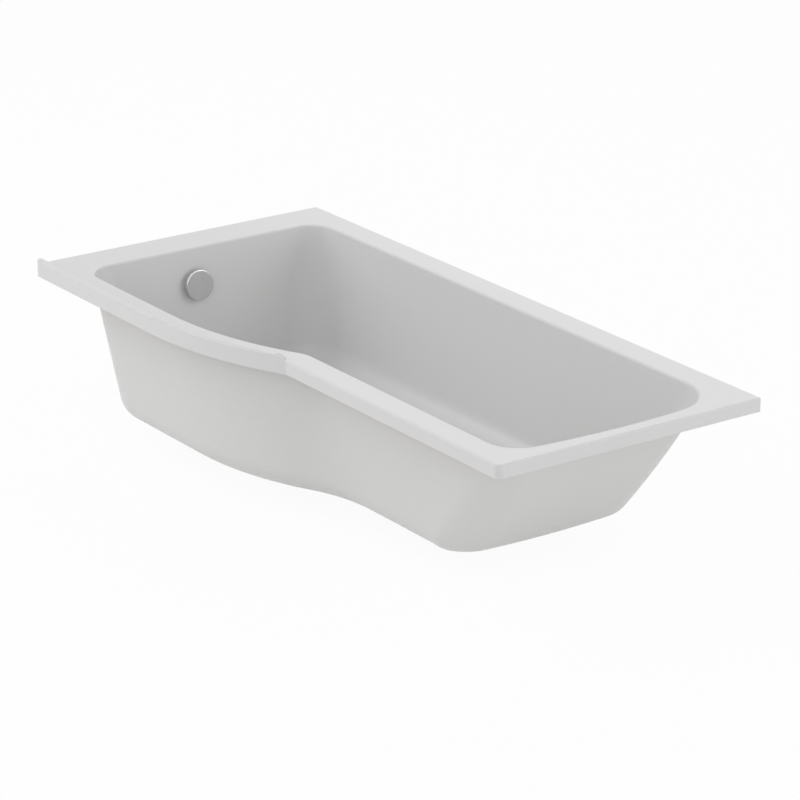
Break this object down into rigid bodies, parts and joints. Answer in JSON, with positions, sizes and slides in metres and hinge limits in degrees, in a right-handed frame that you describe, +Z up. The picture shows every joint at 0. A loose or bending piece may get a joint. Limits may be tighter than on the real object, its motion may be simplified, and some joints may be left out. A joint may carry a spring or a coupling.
{
  "type": "shower bath",
  "caption": "P-shaped shower bath: moulded white tub with flat rim, screen upstand and backrest, on a board with rails and levelling feet, with pop-up waste and turning overflow knob.",
  "frame": {"origin": "on the floor under the middle of the rim", "axes": "+Z up, +X from the tap end to the backrest end, +Y to the wall behind the bath; the bulged front faces -Y"},
  "size_m": [1.7, 0.8, 0.408],
  "materials": {
    "white_acrylic": "gloss white acrylic, backed with glass-filled resin",
    "chipboard": "raw chipboard",
    "softwood": "planed softwood",
    "zinc_steel": "bright zinc plate",
    "black_plastic": "moulded black",
    "chrome": "polished chrome plate",
    "stainless_steel": "brushed",
    "white_plastic": "moulded white",
    "grey_plastic": "moulded grey",
    "brass": "turned",
    "black_rubber": "moulded",
    "cable_sheath": "extruded black"
  },
  "bodies": {
    "bath": {"bath_shell": "white_acrylic", "base_board": "chipboard", "rim_batten_back": "softwood", "rim_batten_tap_end": "softwood", "rim_batten_backrest_end": "softwood", "rim_batten_narrow_front": "softwood", "rim_batten_wide_front": "softwood", "leg_rail_tap_end": "zinc_steel", "leg_rail_backrest_end": "zinc_steel", "rail_screws": "zinc_steel", "foot_lock_nuts": "zinc_steel", "waste_flange": "chrome", "overflow_clamp_plate": "stainless_steel", "overflow_clamp_screws": "stainless_steel", "waste_body": "white_plastic", "overflow_body": "white_plastic", "overflow_pipe": "white_plastic", "overflow_pipe_nut_top": "white_plastic", "overflow_pipe_nut_bottom": "white_plastic", "waste_flange_seal": "black_rubber", "waste_body_seal": "black_rubber", "overflow_wall_seal": "black_rubber", "overflow_pipe_seals": "black_rubber", "control_cable": "cable_sheath"},
    "knob": {"overflow_knob": "chrome", "knob_grub_screw": "stainless_steel", "knob_spindle": "brass"},
    "plug": {"waste_plug": "chrome", "plug_seal": "black_rubber", "plug_stem": "brass", "plug_lifter": "grey_plastic"},
    "foot_tap_front": {"foot_stud_tap_front": "zinc_steel", "foot_pad_tap_front": "black_plastic"},
    "foot_tap_back": {"foot_stud_tap_back": "zinc_steel", "foot_pad_tap_back": "black_plastic"},
    "foot_backrest_front": {"foot_stud_backrest_front": "zinc_steel", "foot_pad_backrest_front": "black_plastic"},
    "foot_backrest_back": {"foot_stud_backrest_back": "zinc_steel", "foot_pad_backrest_back": "black_plastic"}
  },
  "joints": [
    {"name": "knob_turn", "type": "hinge", "parent": "bath", "child": "knob", "pos_m": [-0.73173, -0.029, 0.306], "axis": [0.9947, 0, 0.1025], "range_deg": [0, 90]},
    {"name": "plug_lift", "type": "slide", "parent": "bath", "child": "plug", "axis": [0, 0, 1], "range_m": [0, 0.01]},
    {"name": "foot_tap_front_level", "type": "slide", "parent": "bath", "child": "foot_tap_front", "axis": [0, 0, 1], "range_m": [-0.018, 0]},
    {"name": "foot_tap_back_level", "type": "slide", "parent": "bath", "child": "foot_tap_back", "axis": [0, 0, 1], "range_m": [-0.018, 0]},
    {"name": "foot_backrest_front_level", "type": "slide", "parent": "bath", "child": "foot_backrest_front", "axis": [0, 0, 1], "range_m": [-0.018, 0]},
    {"name": "foot_backrest_back_level", "type": "slide", "parent": "bath", "child": "foot_backrest_back", "axis": [0, 0, 1], "range_m": [-0.018, 0]}
  ],
  "couplings": [
    {"joint": "plug_lift", "follows": "knob_turn", "m_per_rad": 0.006366}
  ]
}
